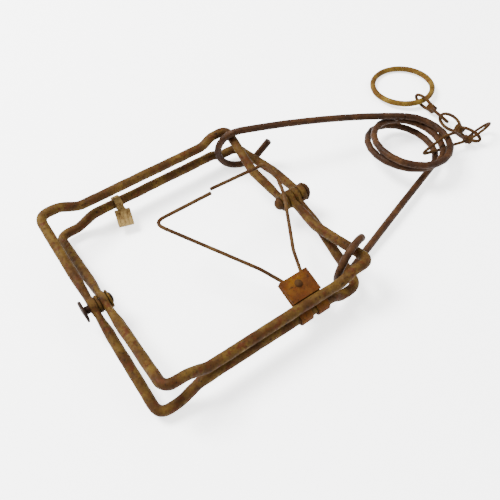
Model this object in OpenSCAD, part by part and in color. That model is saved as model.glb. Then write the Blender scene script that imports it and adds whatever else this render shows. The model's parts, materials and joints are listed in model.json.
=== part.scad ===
// Body-grip trap: two square rod jaws that cross at two rivets, one two-armed
// torsion spring, a two-wire trigger, a latch dog, and a twisted-wire chain with a ring.
// It lies sprung (closed) on its side. X runs along the jaw hinge towards the spring,
// Y runs across the jaws, Z is up. "Far" is +Y and "near" is -Y.

/* [Jaws] */
// Distance between the two short sides of a jaw, centre to centre
jaw_length = 114; // [113:0.5:115]
// Diameter of the jaw rod
rod_d = 5.2; // [4.8:0.1:5.2]
// Distance from the hinge line to the far long side of jaw A
far_reach = 56.9; // [56:0.1:58]
// Distance from the hinge line to the near long side of jaw A
near_reach = 59.4; // [59:0.1:60]
// How far each left corner is bent away from the jaw's plane
left_corner_lift = 10; // [9.5:0.5:11]
// How far each right corner is bent away from the jaw's plane
right_corner_lift = 8.2; // [7.6:0.1:8.4]
// Height of the hinge line above the ground
hinge_z = 15; // [15:0.5:17]

/* [Pivots] */
// Diameter of the pivot rivets' shanks
shank_d = 4; // [3.8:0.1:4]
// Diameter of the flattened eyes on the jaw rods
eye_d = 9.6; // [9:0.2:9.8]
// Thickness of the eyes at the right pivot, where four of them are stacked
eye_t = 3.3; // [3.2:0.1:3.4]
// Distance between the centres of stacked eyes
eye_step = 3.8; // [3.7:0.1:3.9]

/* [Spring] */
// Diameter of the spring wire
spring_d = 4; // [3.6:0.1:4]
// Radius of the coil to the middle of the wire
coil_r = 21.6; // [21:0.1:22]
// Radius of the end eyes to the middle of the wire
spring_eye_r = 13.2; // [13:0.1:13.4]

/* [Trigger] */
// Diameter of the two trigger wires
trigger_wire_d = 1.8; // [1.6:0.1:1.8]
// Thickness of the trigger's sheet metal
sheet_t = 0.9; // [0.8:0.1:0.9]
// How far the trigger's free end is raised, in degrees
trigger_rise = 13; // [12:0.5:14]

/* [Chain] */
// Diameter of the chain wire
chain_wire_d = 1.6; // [1.4:0.1:1.6]
// Radius of the end ring to the middle of its wire
ring_r = 19.4; // [19:0.1:19.8]
// Diameter of the end ring's wire
ring_wire_d = 3.5; // [3.2:0.1:3.5]

/* [Hidden] */
$fn = 48;

// The middle of the whole object's footprint, which is the origin
middle_x = 70.67;
middle_y = 0.58;

bore_d = shank_d + 0.2;
rod_r = rod_d / 2;
side_offset = 2.8;
bow_y = 25;
left_x = -jaw_length / 2;
right_x = jaw_length / 2;
stack_x = right_x + 1.15;
left_eye_t = 3.6;
// Height of jaw B's far side over the hinge line, where the dog hangs
dog_side_z = -5.2;

// Vector helpers
function unit(v) = v / norm(v);
function xyz(p) = [p[0], p[1], p[2]];
function reversed(list) = [for (i = [len(list) - 1:-1:0]) list[i]];
function curve(a, b, c, n) = [for (i = [0:n]) let (s = i / n)
    (1 - s) * (1 - s) * a + 2 * s * (1 - s) * b + s * s * c];

// A path point is [x, y, z, bend radius, half width, half height of the section]
function rounded_corner(a, b, c) = let (
    to_a = unit(xyz(a) - xyz(b)), to_c = unit(xyz(c) - xyz(b)),
    turn = 180 - acos(max(-1, min(1, to_a * to_c))),
    reach = min(b[3] * tan(turn / 2), norm(xyz(a) - xyz(b)) * 0.48, norm(xyz(c) - xyz(b)) * 0.48),
    steps = turn < 6 ? 0 : turn < 40 ? 3 : 6)
    steps == 0 ? [[b[0], b[1], b[2], b[4], b[5]]]
    : [for (p = curve(xyz(b) + to_a * reach, xyz(b), xyz(b) + to_c * reach, steps))
        [p[0], p[1], p[2], b[4], b[5]]];
function rounded_path(path) = let (last = len(path) - 1) concat(
    [[path[0][0], path[0][1], path[0][2], path[0][4], path[0][5]]],
    [for (i = [1:last - 1]) each rounded_corner(path[i - 1], path[i], path[i + 1])],
    [[path[last][0], path[last][1], path[last][2], path[last][4], path[last][5]]]);
function thick(points, r) = [for (p = points) [p[0], p[1], p[2], r, r]];

// A rod swept along points [x, y, z, half width, half height]; "up" is never along the path
module swept(points, up, sides) {
    last = len(points) - 1;
    rings = [for (i = [0:last]) let (
        along = unit(xyz(points[min(i + 1, last)]) - xyz(points[max(i - 1, 0)])),
        side = unit(cross(along, up)), top = cross(side, along))
        for (k = [0:sides - 1]) xyz(points[i])
            + side * points[i][3] * cos(360 * k / sides)
            + top * points[i][4] * sin(360 * k / sides)];
    walls = [for (i = [0:last - 1], k = [0:sides - 1]) let (
        a = i * sides + k, b = i * sides + (k + 1) % sides)
        each [[a, b, a + sides], [b, b + sides, a + sides]]];
    ends = [[for (k = [sides - 1:-1:0]) k], [for (k = [0:sides - 1]) last * sides + k]];
    polyhedron(rings, concat(walls, ends));
}

// Moves a piece from the hinge's own frame, or the ground's, to the object's frame
module on_ground() { translate([-middle_x, -middle_y, 0]) children(); }
module on_hinge() { on_ground() translate([0, 0, hinge_z]) children(); }
module along_x(x) { translate([x, 0, 0]) rotate([0, 90, 0]) children(); }

// ---- Jaws ----
function round_point(x, y, z, bend) = [x, y, z, bend, rod_r, rod_r];
left_flat_w = left_eye_t - 0.1;
right_flat_w = eye_t - 0.2;
function flat_point(x, y, z, w) = [x, y, z, 30, w / 2, rod_r + 0.6];
// A long side, from its right corner to its left one, with the corners bent by "lift"
function long_side(shift, y, z_side, sign) = [
    round_point(right_x + shift, y, sign * right_corner_lift, 8),
    round_point(right_x + shift - 10.5, y, sign * right_corner_lift, 7),
    round_point(right_x + shift - 17, y, z_side, 7),
    round_point(left_x + shift + 21, y, z_side, 9),
    round_point(left_x + shift + 11, y, sign * left_corner_lift, 9),
    round_point(left_x + shift, y, sign * left_corner_lift, 9)];
// The stretch of a short side beside an eye: flat at 5 mm from it and round at 16 mm
function beside_eye(x, x_next, slope, sign, w) = [
    flat_point(x, sign * 5, slope * 5, w),
    round_point(x_next, sign * 16, slope * 16, 30)];
// sign is +1 for jaw A, whose far side is the higher one, and -1 for jaw B. far_bow_x and
// near_bow_x are where the two halves of the right short side pass beside the right pivot
function jaw_path(shift, sign, far_y, near_y, far_z, near_z, eye_far_x, eye_near_x, far_bow_x,
    near_bow_x) = let (
    right_slope = sign * right_corner_lift / far_y, left_slope = sign * left_corner_lift / far_y)
    concat([flat_point(eye_far_x, 0, 0, right_flat_w)],
        beside_eye(eye_far_x, (eye_far_x + far_bow_x) / 2, right_slope, 1, right_flat_w),
        [round_point(far_bow_x, bow_y, right_slope * bow_y, 20)],
        long_side(shift, far_y, far_z, sign),
        reversed(beside_eye(left_x + shift, left_x + shift, left_slope, 1, left_flat_w)),
        beside_eye(left_x + shift, left_x + shift, -left_slope, -1, left_flat_w),
        reversed(long_side(shift, -near_y, near_z, -sign)),
        [round_point(near_bow_x, -bow_y, -right_slope * bow_y, 20)],
        reversed(beside_eye(eye_near_x, (eye_near_x + near_bow_x) / 2, -right_slope, -1,
            right_flat_w)),
        [flat_point(eye_near_x, 0, 0, right_flat_w)]);

module jaw(path, eyes) {
    difference() {
        union() {
            swept(rounded_path(path), [0, 0, 1], 12);
            for (eye = eyes) along_x(eye[0]) cylinder(d = eye_d, h = eye[1], center = true);
        }
        for (eye = eyes) along_x(eye[0]) cylinder(d = bore_d, h = 2 * eye[1], center = true);
    }
}
module jaw_a() {
    color("#7d6a45") on_hinge() jaw(
        jaw_path(-side_offset, 1, far_reach, near_reach, 4, -3.3,
            stack_x - 1.5 * eye_step, stack_x + 0.5 * eye_step, right_x - 6.8, right_x + 1.7),
        [[stack_x - 1.5 * eye_step, eye_t], [stack_x + 0.5 * eye_step, eye_t],
            [left_x - side_offset, left_eye_t]]);
}
module jaw_b() {
    color("#6b5535") on_hinge() jaw(
        jaw_path(side_offset, -1, far_reach - 1, near_reach - 0.8, dog_side_z, 4,
            stack_x + 1.5 * eye_step, stack_x - 0.5 * eye_step, right_x + 6.8, right_x - 2.8),
        [[stack_x + 1.5 * eye_step, eye_t], [stack_x - 0.5 * eye_step, eye_t],
            [left_x + side_offset, left_eye_t]]);
}

// ---- Pivots ----
left_head_x = left_x - side_offset - left_eye_t / 2 - 2.4;
left_tail_x = left_x + side_offset + left_eye_t / 2 + 1.8;
right_head_x = stack_x + 1.5 * eye_step + eye_t / 2 + 1.6;
right_tail_x = stack_x - 1.5 * eye_step - eye_t / 2 - 0.3;

// A domed rivet head that stands on its own face towards +Z
module dome(d, h) {
    rotate_extrude() intersection() {
        translate([0, h - (d * d / 4 + h * h) / (2 * h)]) circle(r = (d * d / 4 + h * h) / (2 * h));
        square([d, h]);
    }
}
module washer(x, d, t) {
    along_x(x) difference() {
        cylinder(d = d, h = t, center = true);
        cylinder(d = bore_d, h = 3 * t, center = true);
    }
}
module left_rivet() {
    color("#3b2a20") on_hinge() union() {
        along_x(left_head_x - 1.2) cylinder(d = 11, h = 1.2);
        along_x(left_head_x - 0.6) cylinder(d = shank_d, h = left_tail_x - left_head_x + 0.8);
        along_x(left_tail_x) dome(6.2, 1.1);
    }
}
module left_middle_washer() { color("#5d4526") on_hinge() washer(left_x, 9, 1.4); }
module left_inner_washer() { color("#5d4526") on_hinge() washer(left_tail_x - 0.9, 9.4, 1.1); }
module right_rivet() {
    color("#5a3a22") on_hinge() union() {
        along_x(right_head_x) dome(9.2, 2.4);
        along_x(right_tail_x - 0.8) cylinder(d = shank_d, h = right_head_x - right_tail_x + 1.6);
        mirror([1, 0, 0]) along_x(-right_tail_x) dome(7, 3.2);
    }
}
module right_washer() { color("#7a6236") on_hinge() washer(right_head_x - 0.75, 10, 1); }

// ---- Spring: a coil of a little over two turns between two long arms ----
coil_middle = [142.5, -7.8, 17.7];
coil_start = 62;
coil_turns = 2.37;
coil_slope = 0.15;
// The last turn drops away from the others, which leaves room for the chain's wire
function extra_drop(t) = 2 * max(0, min(1, (t - 1.6) / 0.5));
function coil_point(t) = let (a = coil_start - 360 * t) coil_middle
    + [coil_r * cos(a) - 1.4 * t, coil_r * sin(a) + 2.8 * t,
        -coil_slope * coil_r * cos(a) - 4.2 * t - extra_drop(t)];
function coil_heading(t) = unit(coil_point(t + 0.002) - coil_point(t - 0.002));

// Gap between the coil's wire and an arm's, where one is cut from the other
wire_cut = 0.55;
// An arm goes from the coil to an eye of this radius, which is upright in the arm's own plane
far_eye_middle = [56.8, 47, spring_eye_r + spring_d / 2];
near_eye_middle = [57.5, -49.6, spring_eye_r + spring_d / 2];
function eye_point(middle, away, a) = middle + spring_eye_r * (cos(a) * away + [0, 0, sin(a)]);
// side is +1 where the arm enters the eye at its top, and -1 where it enters at the bottom
function arm_path(root, heading, middle, side, last_angle, tail) = let (
    away = unit([root[0] - middle[0], root[1] - middle[1], 0]),
    entry = eye_point(middle, away, 90 * side),
    knee = entry + away * (norm(root - entry) * 0.45))
    concat(curve(root + heading * wire_cut, (root + heading * 42 + knee) / 2, entry, 8),
        [for (a = [90 + 15:15:last_angle]) eye_point(middle, away, side * a)],
        tail == 0 ? [] : [eye_point(middle, away, side * last_angle)
            + tail * (-sin(side * last_angle) * away + [0, 0, cos(last_angle)]) * side]);

far_arm_path = arm_path(coil_point(0), -coil_heading(0), far_eye_middle, 1, 325, 11);
near_arm_path = arm_path(coil_point(coil_turns), coil_heading(coil_turns), near_eye_middle, -1,
    300, 0);

module spring_coil() {
    color("#4a3428") on_ground() swept(
        thick([for (i = [0:48]) coil_point(coil_turns * i / 48)], spring_d / 2), [0, 0, 1], 10);
}
module spring_arm(path, middle) {
    away = unit([path[0][0] - middle[0], path[0][1] - middle[1], 0]);
    color("#4f372b") on_ground() swept(thick(path, spring_d / 2), cross(away, [0, 0, 1]), 10);
}
module spring_arm_far() { spring_arm(far_arm_path, far_eye_middle); }
module spring_arm_near() { spring_arm(near_arm_path, near_eye_middle); }

// ---- Trigger: two sheet plates riveted over two bent wires, curled round jaw A's near side ----
curl_gap = 0.3;
curl_inner_r = rod_r + curl_gap;
curl_outer_r = curl_inner_r + sheet_t;
wire_gap = 0.05;
wire_z = curl_outer_r + wire_gap + trigger_wire_d / 2;
top_plate_z = wire_z + trigger_wire_d / 2 + wire_gap;
plate_x = 24.5;
plate_w = 16.5;
plate_end = 18;
bottom_plate_y = 3.6;
top_plate_y = 5.5;

// The trigger's own frame: X along jaw A's near side, Y out along the wires
module on_trigger() {
    on_hinge() translate([0, -near_reach, -3.3]) rotate([trigger_rise, 0, 0]) children();
}
module trigger_bore(h) {
    translate([plate_x, 13, 0]) cylinder(d = 3.2, h = h, center = true);
}
module curl(x, w) {
    translate([x - w / 2, 0, 0]) rotate([0, 90, 0]) difference() {
        cylinder(r = curl_outer_r, h = w);
        translate([0, 0, -1]) cylinder(r = curl_inner_r, h = w + 2);
        rotate([0, 0, 42]) translate([0, 0, -1]) cube([12, 12, w + 2]);
    }
}
module trigger_bottom_plate() {
    color("#9a5a24") on_trigger() {
        difference() {
            union() {
                curl(19.6, 6.6);
                curl(29.6, 6.6);
                for (x = [19.6, 29.6]) translate([x - 3.3, 0, curl_inner_r])
                    cube([6.6, bottom_plate_y + 1, sheet_t]);
                translate([plate_x - plate_w / 2, bottom_plate_y, curl_inner_r])
                    cube([plate_w, plate_end - bottom_plate_y, sheet_t]);
            }
            trigger_bore(20);
        }
    }
}
module trigger_top_plate() {
    color("#a35f28") on_trigger() difference() {
        translate([plate_x - plate_w / 2, top_plate_y, top_plate_z])
            cube([plate_w, plate_end - top_plate_y, sheet_t]);
        trigger_bore(20);
    }
}
module trigger_rivet() {
    top = top_plate_z + sheet_t;
    color("#6f4222") on_trigger() translate([plate_x, 13, 0]) union() {
        translate([0, 0, curl_inner_r - 0.9]) cylinder(d = 5, h = 0.85);
        translate([0, 0, curl_inner_r - 0.5]) cylinder(d = 3, h = top - curl_inner_r + 0.8);
        translate([0, 0, top + 0.05]) dome(4.4, 0.8);
    }
}
// Each wire fans out from the plates and turns back along the trigger's far edge
long_wire_path = [[20.6, 7.5], [19.4, 17.5], [13.7, 29], [-17.3, 76], [16.2, 76]];
short_wire_path = [[28.6, 7.5], [29.8, 17.5], [33.6, 29], [48.1, 56.5], [51, 67], [50.4, 76.6],
    [17.2, 78]];
short_wire_bends = [0, 8, 20, 30, 12, 4, 0];
long_wire_bends = [0, 8, 20, 3.5, 0];
module trigger_wire(path, bends) {
    r = trigger_wire_d / 2;
    color("#6d4c30") on_trigger() translate([0, 0, wire_z]) swept(
        rounded_path([for (i = [0:len(path) - 1]) [path[i][0], path[i][1], 0, bends[i], r, r]]),
        [0, 0, 1], 8);
}
module trigger_wire_long() { trigger_wire(long_wire_path, long_wire_bends); }
module trigger_wire_short() { trigger_wire(short_wire_path, short_wire_bends); }

// ---- Dog: a sheet hook round jaw B's far side with a thick grooved flap ----
dog_x = -19;
dog_hang = 19;
dog_skew = -14;
dog_neck = [4, 4.4, 1.6];
dog_flap = [8.4, 9.5, 2.4];
module dog() {
    color("#a89468") on_hinge() translate([dog_x, far_reach - 1, dog_side_z]) rotate([dog_hang, 0, 0])
    union() {
        rotate([0, 90, 0]) difference() {
            cylinder(r = curl_outer_r, h = dog_neck[0], center = true);
            cylinder(r = curl_inner_r, h = 6, center = true);
        }
        translate([-dog_neck[0] / 2, -curl_inner_r - 0.2 - dog_neck[1], -dog_neck[2] / 2]) cube(dog_neck);
        translate([0, -curl_outer_r - 1.4, 0]) rotate([0, 0, dog_skew]) difference() {
            translate([-dog_flap[0] / 2, -dog_flap[1], -dog_flap[2] / 2]) cube(dog_flap);
            for (x = [-2.2, 0, 2.2]) translate([x, -2.5, dog_flap[2] / 2 + 0.3]) rotate([90, 0, 0])
                cylinder(r = 0.7, h = 20);
        }
    }
}

// ---- Chain: each link is one wire with a knot and two loops in crossed planes ----
knot_r = 2.3;
wire_r = chain_wire_d / 2;
function crossways(dir, roll) = let (flat = unit(cross([0, 0, 1], dir)))
    cos(roll) * flat + sin(roll) * unit(cross(dir, flat));
// A loop is most of an ellipse that starts and ends inside the knot
module link_loop(knot, tip, half_w, roll) {
    dir = unit(tip - knot);
    across = crossways(dir, roll);
    half_l = norm(tip - knot) / 2;
    points = [for (a = [12:21:348]) knot + dir * half_l * (1 - cos(a)) + across * half_w * sin(a)];
    swept(thick(points, wire_r), cross(dir, across), 8);
}
module link_knot(knot, dir) {
    turn = atan2(dir[1], dir[0]);
    rise = atan2(dir[2], norm([dir[0], dir[1]]));
    translate(knot) rotate([0, 0, turn]) rotate([0, 90 - rise, 0]) rotate_extrude()
        polygon([[0, -2.6], [1.5, -2.6], [knot_r, -1.4], [knot_r, 1.4], [1.5, 2.6], [0, 2.6]]);
}
chain_z = 4.3;
outer_knot = [183.6, 15.4, chain_z];
middle_knot = [183.5, -8.5, chain_z];
coil_knot = [179.5, -18.7, 5.6];
ring_touch = [184.4, 23.9, chain_z];
module chain_link_outer() {
    color("#6e4c2a") on_ground() union() {
        link_loop(outer_knot, [184.3, 29.6, chain_z], 3.2, 90);
        link_loop(outer_knot, [182.6, 0.6, chain_z], 3.9, -45);
        link_knot(outer_knot, [0, 1, 0]);
    }
}
module chain_link_middle() {
    color("#6e4c2a") on_ground() union() {
        link_loop(middle_knot, [183.5, 7, chain_z], 3.9, -45);
        link_loop(middle_knot, [186.4, -22.6, 4.6], 3.4, 90);
        link_knot(middle_knot, [0, 1, 0]);
    }
}
// The long loop of this link goes over two of the coil's strands and under them
clip_tip = [146, -13.5];
clip_heights = [[0.12, -0.5], [0.4, 0.75], [0.64, 0.75], [0.97, 2.4], [1, 3.6], [0.97, 4.8], [0.64, 11.3],
    [0.4, 11.3], [0.14, 3.2]];
function clip_point(s, dz) = [coil_knot[0] + s * (clip_tip[0] - coil_knot[0]),
    coil_knot[1] + s * (clip_tip[1] - coil_knot[1]), coil_knot[2] + dz];
module coil_link() {
    path = concat([[0.02, -0.4]], clip_heights, [[0.02, 0.6]]);
    points = [for (h = path) let (p = clip_point(h[0], h[1])) [p[0], p[1], p[2], 3, wire_r, wire_r]];
    away = unit([coil_knot[0] - clip_tip[0], coil_knot[1] - clip_tip[1], 0]);
    color("#6e4c2a") on_ground() union() {
        swept(rounded_path(points), cross(away, [0, 0, 1]), 8);
        link_loop(coil_knot, [198.6, -17.4, 7.6], 4.2, -50);
        link_knot(coil_knot, [0.6, -0.8, 0]);
    }
}
module end_ring() {
    tilt = asin((ring_touch[2] - ring_wire_d / 2 - 0.05) / (2 * ring_r));
    color("#9a7836") on_ground() translate(ring_touch) rotate([-tilt, 0, 0])
        translate([1, ring_r, 0]) rotate([0, 0, -50]) rotate_extrude(angle = 358)
            translate([ring_r, 0]) circle(d = ring_wire_d);
}

jaw_a();
jaw_b();
left_rivet();
left_middle_washer();
left_inner_washer();
right_rivet();
right_washer();
spring_coil();
spring_arm_far();
spring_arm_near();
trigger_top_plate();
trigger_bottom_plate();
trigger_rivet();
trigger_wire_long();
trigger_wire_short();
dog();
coil_link();
chain_link_middle();
chain_link_outer();
end_ring();
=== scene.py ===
"""Looks of a rusty body-grip trap that lies sprung on a white ground.

Each CAD node is remeshed finely, rounded and pitted with rust, and the result stands for that
node. Five tubes are added: the spring arms' ends that hide in the coil, and the wire wound
round the three chain links' knots. Lengths are in metres unless a name ends in mm or MM.
"""

import json
import math

import bpy
from mathutils import Matrix, Vector, kdtree, noise

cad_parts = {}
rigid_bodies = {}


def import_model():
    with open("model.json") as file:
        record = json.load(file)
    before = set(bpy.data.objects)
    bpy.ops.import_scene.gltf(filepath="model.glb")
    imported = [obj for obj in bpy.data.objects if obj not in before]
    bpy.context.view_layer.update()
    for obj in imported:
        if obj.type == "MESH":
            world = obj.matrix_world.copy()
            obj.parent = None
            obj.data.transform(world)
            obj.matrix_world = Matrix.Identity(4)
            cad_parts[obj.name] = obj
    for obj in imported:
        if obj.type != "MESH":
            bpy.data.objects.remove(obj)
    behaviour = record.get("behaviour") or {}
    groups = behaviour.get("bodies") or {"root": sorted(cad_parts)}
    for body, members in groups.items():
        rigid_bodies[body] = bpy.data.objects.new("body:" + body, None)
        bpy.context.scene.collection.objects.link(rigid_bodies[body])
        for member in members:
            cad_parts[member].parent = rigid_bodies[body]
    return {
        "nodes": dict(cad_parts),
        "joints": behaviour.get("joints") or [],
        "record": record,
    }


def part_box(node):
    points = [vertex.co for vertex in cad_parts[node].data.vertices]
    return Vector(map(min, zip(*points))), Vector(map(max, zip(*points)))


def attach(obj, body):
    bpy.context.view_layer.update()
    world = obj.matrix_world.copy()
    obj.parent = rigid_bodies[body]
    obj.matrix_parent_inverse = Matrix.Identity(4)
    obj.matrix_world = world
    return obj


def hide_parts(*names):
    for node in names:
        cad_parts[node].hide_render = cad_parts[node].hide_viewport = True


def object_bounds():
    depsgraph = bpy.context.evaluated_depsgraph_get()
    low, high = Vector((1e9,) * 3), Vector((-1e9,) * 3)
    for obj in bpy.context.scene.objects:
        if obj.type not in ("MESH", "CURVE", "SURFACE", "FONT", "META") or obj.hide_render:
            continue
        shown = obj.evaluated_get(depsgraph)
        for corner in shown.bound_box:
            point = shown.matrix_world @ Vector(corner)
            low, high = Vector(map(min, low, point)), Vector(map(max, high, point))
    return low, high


MM = 0.001
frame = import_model()
cad_low, cad_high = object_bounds()

BODY_OF = {n: b for b, ns in frame["record"]["behaviour"]["bodies"].items() for n in ns}
SLOT_OF = {s["node"]: s["material_slot"] for s in frame["record"]["subparts"]}
JOINTS = {j["name"]: j for j in frame["joints"]}


# ---- Materials ----
def colour(text):
    """A shader colour from a written sRGB one such as "6e5530"."""
    parts = [int(text[i:i + 2], 16) / 255 for i in (0, 2, 4)]
    return [c / 12.92 if c <= 0.04045 else ((c + 0.055) / 1.055) ** 2.4 for c in parts] + [1]


class Shader:
    """Short names for the few nodes that the materials use."""

    def __init__(self, name):
        self.material = bpy.data.materials.new(name)
        self.material.use_nodes = True
        self.tree = self.material.node_tree
        self.out = self.tree.nodes["Principled BSDF"]
        self.place = self.tree.nodes.new("ShaderNodeTexCoord").outputs["Object"]

    def link(self, a, b):
        """Joins an output to an input."""
        self.tree.links.new(a, b)

    def noise(self, size_mm, detail=4.0, roughness=0.6, shift=0.0):
        """Noise with patches of about this size, as a value around 0.5."""
        moved = self.tree.nodes.new("ShaderNodeVectorMath")
        moved.operation = "ADD"
        moved.inputs[1].default_value = (shift, shift * 0.7, -shift)
        self.link(self.place, moved.inputs[0])
        n = self.tree.nodes.new("ShaderNodeTexNoise")
        n.inputs["Scale"].default_value = 1 / (size_mm * MM)
        n.inputs["Detail"].default_value = detail
        n.inputs["Roughness"].default_value = roughness
        self.link(moved.outputs[0], n.inputs["Vector"])
        return n.outputs["Fac"]

    def ramp(self, value, stops):
        """A value sent through colour stops of (position, colour)."""
        r = self.tree.nodes.new("ShaderNodeValToRGB")
        elements = r.color_ramp.elements
        while len(elements) < len(stops):
            elements.new(0.5)
        for element, (at, c) in zip(elements, stops):
            element.position, element.color = at, c
        self.link(value, r.inputs["Fac"])
        return r.outputs["Color"]

    def mix(self, amount, a, b):
        """Colour a going over to b; each is a colour or another node's output."""
        m = self.tree.nodes.new("ShaderNodeMix")
        m.data_type = "RGBA"
        self.link(amount, m.inputs["Factor"])
        for side, value in (("A", a), ("B", b)):
            socket = [s for s in m.inputs if s.name == side and s.type == "RGBA"][0]
            if isinstance(value, list):
                socket.default_value = value
            else:
                self.link(value, socket)
        return [s for s in m.outputs if s.type == "RGBA"][0]

    def bump(self, value, depth_mm, strength):
        """Surface grain from a noise value."""
        b = self.tree.nodes.new("ShaderNodeBump")
        b.inputs["Distance"].default_value = depth_mm * MM
        b.inputs["Strength"].default_value = strength
        self.link(value, b.inputs["Height"])
        self.link(b.outputs["Normal"], self.out.inputs["Normal"])


# Sizes of the rust's patterns in mm, and how far apart two materials' patterns lie in metres
BLOTCH_MM, SCALE_MM, CRUST_MM, SHEEN_MM, TEXTURE_MM = 9, 3.2, 1.6, 2.0, 0.8
PATTERN_STEP = 0.37
TEXTURE_DEPTH_MM, TEXTURE_STRENGTH = 0.25, 0.5


def step(low, high):
    """Ramp stops that cut a noise value into a mask."""
    return [(low, [0, 0, 0, 1]), (high, [1, 1, 1, 1])]


def rust(name, body, dark, light, scale, light_share=0.5, metal=0.12, rough=(0.6, 0.9)):
    """Rusted steel: blotches of a body colour, worn light patches, and dark scale and pits."""
    s = Shader(name)
    shift = len(bpy.data.materials) * PATTERN_STEP
    blotches = s.ramp(s.noise(BLOTCH_MM, 5, 0.62, shift),
                      step(light_share - 0.1, light_share + 0.14))
    base = s.mix(blotches, colour(body), colour(light))
    scabs = s.ramp(s.noise(SCALE_MM, 6, 0.7, shift + 2), step(0.52, 0.62))
    base = s.mix(scabs, base, colour(scale))
    crust = s.ramp(s.noise(CRUST_MM, 5, 0.7, shift + 5), step(0.55, 0.7))
    base = s.mix(crust, base, colour(dark))
    s.link(base, s.out.inputs["Base Color"])
    s.out.inputs["Metallic"].default_value = metal
    s.out.inputs["Specular IOR Level"].default_value = 0.08
    s.link(s.ramp(s.noise(SHEEN_MM, 3, 0.6, shift + 3),
                  [(0.35, [rough[0]] * 3 + [1]), (0.7, [rough[1]] * 3 + [1])]),
           s.out.inputs["Roughness"])
    s.bump(s.noise(TEXTURE_MM, 5, 0.7, shift + 7), TEXTURE_DEPTH_MM, TEXTURE_STRENGTH)
    return s.material


# slot: body, dark, light and scale colours, and where the light patches begin
MATERIALS = {
    "jaw_rust": rust("jaw_rust", "2d1a05", "0f0602", "463411", "351906", 0.52),
    # dark_rivet is part dark rust and part painted shade: its colours are darker than the
    # other rivets' rust to paint in the shade that falls on the left rivet's head
    "dark_rivet": rust("dark_rivet", "180d06", "090402", "271709", "200f06", 0.6),
    "rivet_rust": rust("rivet_rust", "271506", "0d0603", "3c290d", "311805", 0.55),
    "spring_rust": rust("spring_rust", "221206", "0f0702", "38220e", "281406", 0.52,
                        rough=(0.5, 0.75)),
    "plate_rust": rust("plate_rust", "381b03", "170802", "4e3006", "421f03", 0.52),
    "wire_rust": rust("wire_rust", "2c1a08", "120804", "443017", "351b05", 0.52),
    "dog_metal": rust("dog_metal", "544021", "261708", "75613a", "402a0c", 0.45),
    "chain_rust": rust("chain_rust", "261404", "0f0602", "3b270b", "2f1602", 0.52),
    "ring_rust": rust("ring_rust", "3e2b08", "170c02", "5a4617", "412404", 0.5),
}


# ---- Pieces from the CAD nodes ----
LUMP_SIZE_MM, GRAIN_SIZE_MM, PIT_SIZE_MM = 5.0, 1.3, 0.9
GRAIN_GAIN, PIT_GAIN, PIT_FROM = 0.35, 1.6, 0.25
SHIFT_PER_PIECE = 3.7


def roughen(mesh, swell_mm, lump_mm, pit_mm, shift):
    """Moves each vertex along its normal: an even swell, soft lumps, fine grain and pits."""
    offset = Vector((shift, -shift, shift * 0.5))
    normals = [v.normal.copy() for v in mesh.vertices]
    for v, n in zip(mesh.vertices, normals):
        p = v.co / MM + offset
        lump = noise.noise(p / LUMP_SIZE_MM)
        grain = noise.noise(p / GRAIN_SIZE_MM)
        pit = max(0.0, noise.noise(p / PIT_SIZE_MM + offset) - PIT_FROM)
        v.co += n * MM * (swell_mm + lump_mm * lump
                          + GRAIN_GAIN * pit_mm * grain - PIT_GAIN * pit_mm * pit)
    mesh.update()


def finished(obj, node_body, slot):
    """Gives a piece the material of its slot, and its body."""
    obj.data.materials.clear()
    obj.data.materials.append(MATERIALS[slot])
    for polygon in obj.data.polygons:
        polygon.use_smooth = True
    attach(obj, node_body)


def forged(node, voxel_mm, rounding, swell_mm, lump_mm, pit_mm):
    """A finely remeshed, rounded and rusted copy of a CAD node, which it stands for."""
    source = frame["nodes"][node]
    copy = bpy.data.objects.new(node + "_rough", source.data.copy())
    bpy.context.scene.collection.objects.link(copy)
    remesh = copy.modifiers.new("remesh", "REMESH")
    remesh.mode = "VOXEL"
    remesh.voxel_size = voxel_mm * MM
    smooth = copy.modifiers.new("smooth", "SMOOTH")
    smooth.factor = 0.5
    smooth.iterations = rounding
    depsgraph = bpy.context.evaluated_depsgraph_get()
    mesh = bpy.data.meshes.new_from_object(copy.evaluated_get(depsgraph))
    bpy.data.objects.remove(copy)
    obj = bpy.data.objects.new(node + "_look", mesh)
    bpy.context.scene.collection.objects.link(obj)
    roughen(mesh, swell_mm, lump_mm, pit_mm, len(bpy.data.objects) * SHIFT_PER_PIECE)
    finished(obj, BODY_OF[node], SLOT_OF[node])
    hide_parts(node)
    return obj


# node: voxel size, rounding passes, swell, lump height and pit depth, all but the passes in mm
FINISH = {
    "jaw_a": (0.4, 8, 0.06, 0.16, 0.13),
    "jaw_b": (0.4, 8, 0.06, 0.16, 0.13),
    "left_rivet": (0.3, 8, 0.05, 0.3, 0.12),
    "left_middle_washer": (0.25, 3, 0, 0.1, 0.08),
    "left_inner_washer": (0.25, 3, 0, 0.15, 0.08),
    "right_rivet": (0.3, 6, 0.05, 0.28, 0.12),
    "right_washer": (0.25, 3, 0, 0.2, 0.08),
    "spring_coil": (0.35, 6, 0.06, 0.05, 0.06),
    "spring_arm_far": (0.35, 6, 0.06, 0.05, 0.07),
    "spring_arm_near": (0.35, 6, 0.06, 0.05, 0.07),
    "trigger_top_plate": (0.2, 3, 0, 0.12, 0.06),
    "trigger_bottom_plate": (0.2, 3, 0, 0.1, 0.06),
    "trigger_rivet": (0.2, 3, 0, 0.15, 0.06),
    "trigger_wire_long": (0.22, 4, 0.1, 0.05, 0.05),
    "trigger_wire_short": (0.22, 4, 0.1, 0.05, 0.05),
    "dog": (0.25, 3, 0, 0.14, 0.06),
    "coil_link": (0.22, 3, 0.15, 0.05, 0.05),
    "chain_link_middle": (0.22, 3, 0.25, 0.05, 0.05),
    "chain_link_outer": (0.22, 3, 0.25, 0.05, 0.05),
    "end_ring": (0.35, 5, 0.05, 0.09, 0.1),
}
looks = {node: forged(node, *values) for node, values in FINISH.items()}


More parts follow.
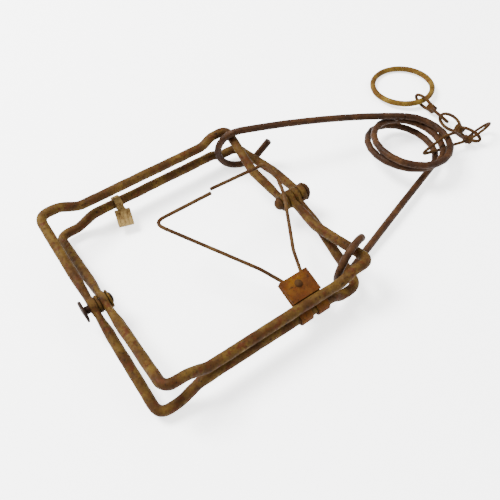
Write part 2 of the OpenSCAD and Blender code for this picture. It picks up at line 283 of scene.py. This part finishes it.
# ---- Tubes: the spring's ends inside its coil, and the wire wound round each chain knot ----
def tube(name, points, radius, sides):
    """A closed tube along points, with a frame carried from each point to the next."""
    vertices, faces = [], []
    side = None
    for i, p in enumerate(points):
        along = (points[min(i + 1, len(points) - 1)] - points[max(i - 1, 0)]).normalized()
        if side is None:
            side = along.orthogonal().normalized()
        side = (side - along * side.dot(along)).normalized()
        up = along.cross(side)
        for k in range(sides):
            a = 2 * math.pi * k / sides
            vertices.append(p + radius * (math.cos(a) * side + math.sin(a) * up))
    for i in range(len(points) - 1):
        for k in range(sides):
            a, b = i * sides + k, i * sides + (k + 1) % sides
            faces.append((a, b, b + sides, a + sides))
    last = (len(points) - 1) * sides
    faces.append(tuple(reversed(range(sides))))
    faces.append(tuple(range(last, last + sides)))
    mesh = bpy.data.meshes.new(name)
    mesh.from_pydata([tuple(v) for v in vertices], [], faces)
    mesh.update()
    obj = bpy.data.objects.new(name, mesh)
    bpy.context.scene.collection.objects.link(obj)
    return obj


COIL_WIRE_R = 2.0 * MM
# How far round a point the coil's skin is averaged to find the middle of its wire
SKIN_REACH = 1.25 * COIL_WIRE_R
END_WIRE_R = 0.93 * COIL_WIRE_R
# An arm's vertices this close to the coil's skin are the ones at its cut
CUT_REACH = 0.9 * MM
# The end starts this far inside the arm and runs this far past the arm's own turn
ROOT_OVERLAP = 1.2 * MM
OVERRUN_DEG = 2
END_STEPS, STEPS_PER_POINT = 30, 3
CENTRING_PASSES = 4
coil_skin = kdtree.KDTree(len(looks["spring_coil"].data.vertices))
for number, vertex in enumerate(looks["spring_coil"].data.vertices):
    coil_skin.insert(vertex.co, number)
coil_skin.balance()


def strand_middle(near):
    """The middle of the coil's wire beside a point that is in it or close to it."""
    for _ in range(CENTRING_PASSES):
        skin = [found[0] for found in coil_skin.find_range(near, SKIN_REACH)]
        near = sum(skin, Vector()) / len(skin) if skin else near
    return near


def spring_end(name, node, joint):
    """The arm's own end, hidden in the coil at rest; it slides out as the coil winds up."""
    pivot, axis = Vector(JOINTS[joint]["pos_m"]), Vector(JOINTS[joint]["axis"])
    cut = [v.co for v in looks[node].data.vertices if coil_skin.find(v.co)[2] < CUT_REACH]
    root = sum(cut, Vector()) / len(cut)
    back = math.radians(-JOINTS[joint]["range_deg"][1] - OVERRUN_DEG) / END_STEPS
    points = [root]
    for _ in range(END_STEPS):
        turned = Matrix.Rotation(back, 3, axis) @ (points[-1] - pivot)
        points.append(strand_middle(pivot + turned))
    points = points[:1] + points[STEPS_PER_POINT::STEPS_PER_POINT]
    points.insert(0, root + (root - points[1]).normalized() * ROOT_OVERLAP)
    obj = tube(name, points, END_WIRE_R, sides=16)
    finished(obj, BODY_OF[node], SLOT_OF[node])


spring_end("spring_end_far", "spring_arm_far", "far_arm_squeeze")
spring_end("spring_end_near", "spring_arm_near", "near_arm_squeeze")


def inside(node, x, y, z):
    """A point in a CAD node's box, as shares of its three sides."""
    low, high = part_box(node)
    return Vector([a + (b - a) * s for a, b, s in zip(low, high, (x, y, z))])


KNOT_LENGTH, WIND_R, WINDING_WIRE_R = 4.8 * MM, 1.95 * MM, 0.78 * MM
KNOT_STEPS = 60
WIND_UNEVENNESS = 0.06
KNOT_LUMP_MM, KNOT_PIT_MM = 0.05, 0.04
# The last share of the wire lifts off the knot by this much
TAIL_FROM, TAIL_SHARE, TAIL_LIFT = 0.93, 0.07, 1.1 * MM


def wound_knot(name, node, middle, along, turns):
    """Wire wound round a chain link's neck, with its cut end standing a little proud."""
    along = along.normalized()
    side = along.orthogonal().normalized()
    up = along.cross(side)
    points = []
    for i in range(KNOT_STEPS + 1):
        t = i / KNOT_STEPS
        a = 2 * math.pi * turns * t
        r = (WIND_R * (1 + WIND_UNEVENNESS * math.sin(3 * a))
             + TAIL_LIFT * max(0, t - TAIL_FROM) / TAIL_SHARE)
        points.append(middle + along * KNOT_LENGTH * (t - 0.5)
                      + r * (math.cos(a) * side + math.sin(a) * up))
    obj = tube(name, points, WINDING_WIRE_R, sides=10)
    roughen(obj.data, 0, KNOT_LUMP_MM, KNOT_PIT_MM, 40 + 9 * len(name))
    finished(obj, BODY_OF[node], SLOT_OF[node])


# name: node, the knot's middle as shares of the node's box, its direction and its turns
KNOTS = {
    "outer_link_winding": ("chain_link_outer", (0.57, 0.51, 0.5), (0.03, 1, 0), 3.3),
    "middle_link_winding": ("chain_link_middle", (0.49, 0.48, 0.5), (0.02, 1, 0), 3.3),
    "coil_link_winding": ("coil_link", (0.631, 0.33, 0.21), (0.6, -0.8, 0), 2.6),
}
for knot_name, (knot_node, shares, direction, knot_turns) in KNOTS.items():
    wound_knot(knot_name, knot_node, inside(knot_node, *shares), Vector(direction), knot_turns)

# ---- Ground, light and camera ----
GROUND_HALF = 4.0
GROUND_GAP = 0.05 * MM
GROUND_GLOW = 1.7
WORLD_GLOW = 1.4
ground_mesh = bpy.data.meshes.new("ground")
ground_mesh.from_pydata([(x * GROUND_HALF, y * GROUND_HALF, 0)
                         for x, y in ((-1, -1), (1, -1), (1, 1), (-1, 1))], [], [(0, 1, 2, 3)])
ground = bpy.data.objects.new("ground", ground_mesh)
ground.location.z = cad_low.z - GROUND_GAP
bpy.context.scene.collection.objects.link(ground)
ground_look = bpy.data.materials.new("ground")
ground_look.use_nodes = True
ground_shader = ground_look.node_tree.nodes["Principled BSDF"]
ground_shader.inputs["Base Color"].default_value = (0.9, 0.9, 0.9, 1)
ground_shader.inputs["Roughness"].default_value = 0.9
ground_shader.inputs["Specular IOR Level"].default_value = 0.1
ground_shader.inputs["Emission Color"].default_value = (1, 1, 0.99, 1)
ground_shader.inputs["Emission Strength"].default_value = GROUND_GLOW
ground_mesh.materials.append(ground_look)

world = bpy.data.worlds.new("studio")
world.use_nodes = True
world.node_tree.nodes["Background"].inputs["Color"].default_value = (1, 1, 1, 1)
world.node_tree.nodes["Background"].inputs["Strength"].default_value = WORLD_GLOW
bpy.context.scene.world = world


def area_light(name, place, size, power):
    """A square lamp of this size in metres and power in watts, turned to the origin."""
    data = bpy.data.lights.new(name, "AREA")
    data.size, data.energy = size, power
    lamp = bpy.data.objects.new(name, data)
    lamp.location = place
    lamp.rotation_euler = (-Vector(place)).to_track_quat("-Z", "Y").to_euler()
    bpy.context.scene.collection.objects.link(lamp)


area_light("key", (-0.45, 0.6, 1.0), 0.5, 60)
area_light("fill", (0.8, -0.5, 1.1), 0.9, 14)

# The camera looks down over the near left corner of the jaws
VIEW_TURN, VIEW_RISE = math.radians(-35.26), math.radians(54.08)
VIEW_DISTANCE = 325.87 * MM
SENSOR_MM, LENS_MM = 36.0, 41.69
AIM_RIGHT, AIM_BACK, AIM_DOWN = 31.3 * MM, 0.16 * MM, 12.6 * MM
jaw_low, jaw_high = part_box("jaw_a")
aim = Vector(((jaw_low.x + jaw_high.x) / 2 + AIM_RIGHT, AIM_BACK, cad_low.z - AIM_DOWN))
to_camera = Vector((math.sin(VIEW_TURN) * math.cos(VIEW_RISE),
                    -math.cos(VIEW_TURN) * math.cos(VIEW_RISE), math.sin(VIEW_RISE)))
camera_data = bpy.data.cameras.new("camera")
camera_data.sensor_width, camera_data.lens = SENSOR_MM, LENS_MM
camera_data.clip_start, camera_data.clip_end = 0.01, 20
camera = bpy.data.objects.new("camera", camera_data)
camera.location = aim + VIEW_DISTANCE * to_camera
camera.rotation_euler = to_camera.to_track_quat("Z", "Y").to_euler()
bpy.context.scene.collection.objects.link(camera)
bpy.context.scene.camera = camera
